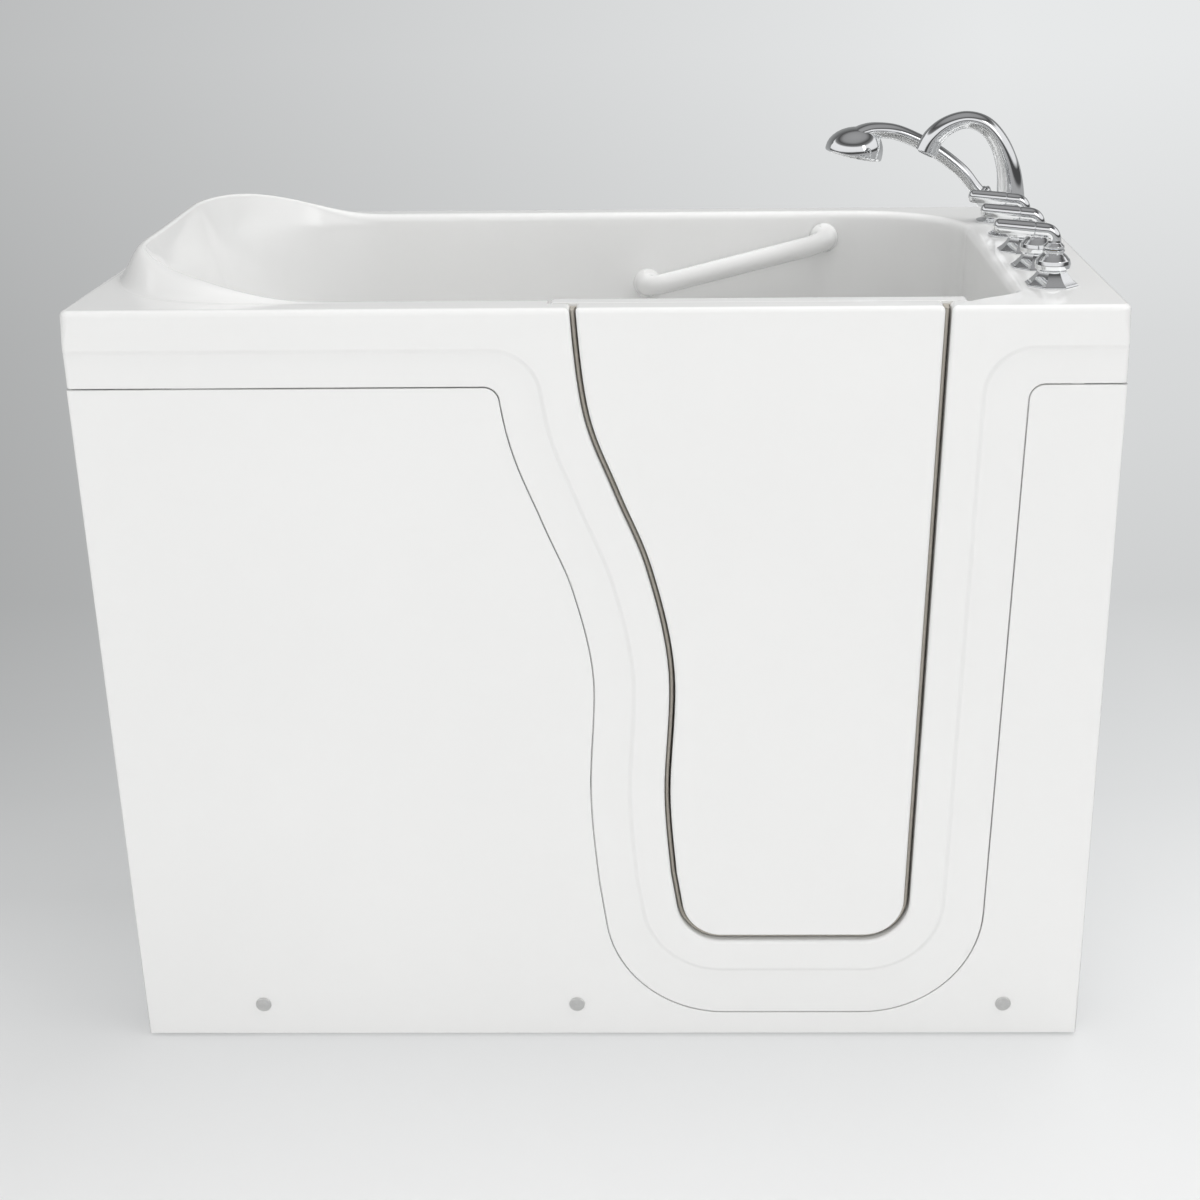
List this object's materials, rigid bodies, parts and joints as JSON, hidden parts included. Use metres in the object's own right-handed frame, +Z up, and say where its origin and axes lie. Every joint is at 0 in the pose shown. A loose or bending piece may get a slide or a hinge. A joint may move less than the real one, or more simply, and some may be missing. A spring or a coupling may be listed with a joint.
{
  "type": "walk-in bathtub",
  "caption": "Walk-in bathtub with an inward-swinging curved door, moulded seat and headrest, front access panel, deck-mounted lever taps, goose-neck spout, hand shower and grab bar.",
  "frame": {"origin": "on the floor under the middle of the tub's length and width", "axes": "+X along the tub towards the taps, -Y towards the side with the door and panel, +Z up"},
  "size_m": [1.346, 0.762, 1.2465],
  "materials": {
    "gelcoat": "glossy",
    "chrome": "polished",
    "frame_paint": "satin",
    "zinc": "satin",
    "black_rubber": "matte",
    "seal": "matte",
    "foam": "matte",
    "brass": "satin",
    "copper": "satin",
    "pvc": "matte",
    "abs": "matte",
    "grey_plastic": "satin"
  },
  "bodies": {
    "tub": {"tub_shell": "gelcoat", "front_panel": "gelcoat", "panel_clips": "zinc", "panel_screws": "zinc", "screw_caps": "chrome", "base_rails": "frame_paint", "end_rails": "frame_paint", "cross_rails": "frame_paint", "frame_posts": "frame_paint", "seat_beams": "frame_paint", "frame_bolts": "zinc", "foot_pads": "black_rubber", "foot_studs": "zinc", "foot_nuts": "zinc", "grab_bar": "gelcoat", "grab_bar_bolts": "zinc", "hinge_frame_leaves": "chrome", "hinge_pins": "zinc", "hinge_frame_screws": "zinc", "latch_keeper": "chrome", "latch_keeper_screws": "zinc", "tap_bells": "chrome", "valve_bodies": "brass", "deck_nuts": "brass", "supply_tubes": "copper", "spout": "chrome", "spout_flange": "chrome", "spout_shank": "brass", "aerator": "grey_plastic", "shower_holder": "chrome", "drain_flange": "chrome", "drain_gasket": "black_rubber", "drain_body": "abs", "drain_pipe": "pvc", "drain_tee": "pvc", "drain_tailpiece": "pvc", "slip_nuts": "pvc", "overflow_pipe": "pvc", "overflow_body": "abs"},
    "door": {"door_outer_shell": "gelcoat", "door_inner_shell": "gelcoat", "door_core": "foam", "door_gasket": "seal", "hinge_door_leaves": "chrome", "hinge_door_screws": "zinc", "latch_bush": "chrome"},
    "latch": {"latch_handle": "chrome", "latch_spindle": "zinc", "latch_cam": "chrome"},
    "hot_tap": {"hot_lever": "chrome", "hot_spindle": "brass"},
    "cold_tap": {"cold_lever": "chrome", "cold_spindle": "brass"},
    "diverter_tap": {"diverter_lever": "chrome", "diverter_spindle": "brass"},
    "shower": {"hand_shower": "chrome", "spray_plate": "grey_plastic"},
    "stopper": {"drain_stopper": "chrome"},
    "dial": {"overflow_dial": "chrome"}
  },
  "joints": [
    {"name": "door_hinge", "type": "hinge", "parent": "tub", "child": "door", "pos_m": [0.49431, -0.3215, 0.6], "axis": [0, 0, -1], "range_deg": [0, 90]},
    {"name": "latch_turn", "type": "hinge", "parent": "door", "child": "latch", "pos_m": [0.006, -0.3, 0.93], "axis": [0, -1, 0], "range_deg": [0, 90]},
    {"name": "hot_turn", "type": "hinge", "parent": "tub", "child": "hot_tap", "pos_m": [0.592, -0.25, 1.1], "axis": [0, 0, 1], "range_deg": [0, 90]},
    {"name": "cold_turn", "type": "hinge", "parent": "tub", "child": "cold_tap", "pos_m": [0.592, -0.128, 1.1], "axis": [0, 0, -1], "range_deg": [0, 90]},
    {"name": "diverter_turn", "type": "hinge", "parent": "tub", "child": "diverter_tap", "pos_m": [0.592, -0.006, 1.1], "axis": [0, 0, -1], "range_deg": [0, 90]},
    {"name": "shower_lift", "type": "slide", "parent": "tub", "child": "shower", "axis": [-0.6691, 0, 0.7431], "range_m": [0, 0.05]},
    {"name": "overflow_turn", "type": "hinge", "parent": "tub", "child": "dial", "pos_m": [0.53436, 0.06, 0.865], "axis": [0.9998, 0, -0.018], "range_deg": [0, 90]},
    {"name": "stopper_lift", "type": "slide", "parent": "tub", "child": "stopper", "axis": [0, 0, 1], "range_m": [0, 0.008]}
  ],
  "couplings": [
    {"joint": "stopper_lift", "follows": "overflow_turn", "m_per_rad": 0.005}
  ]
}
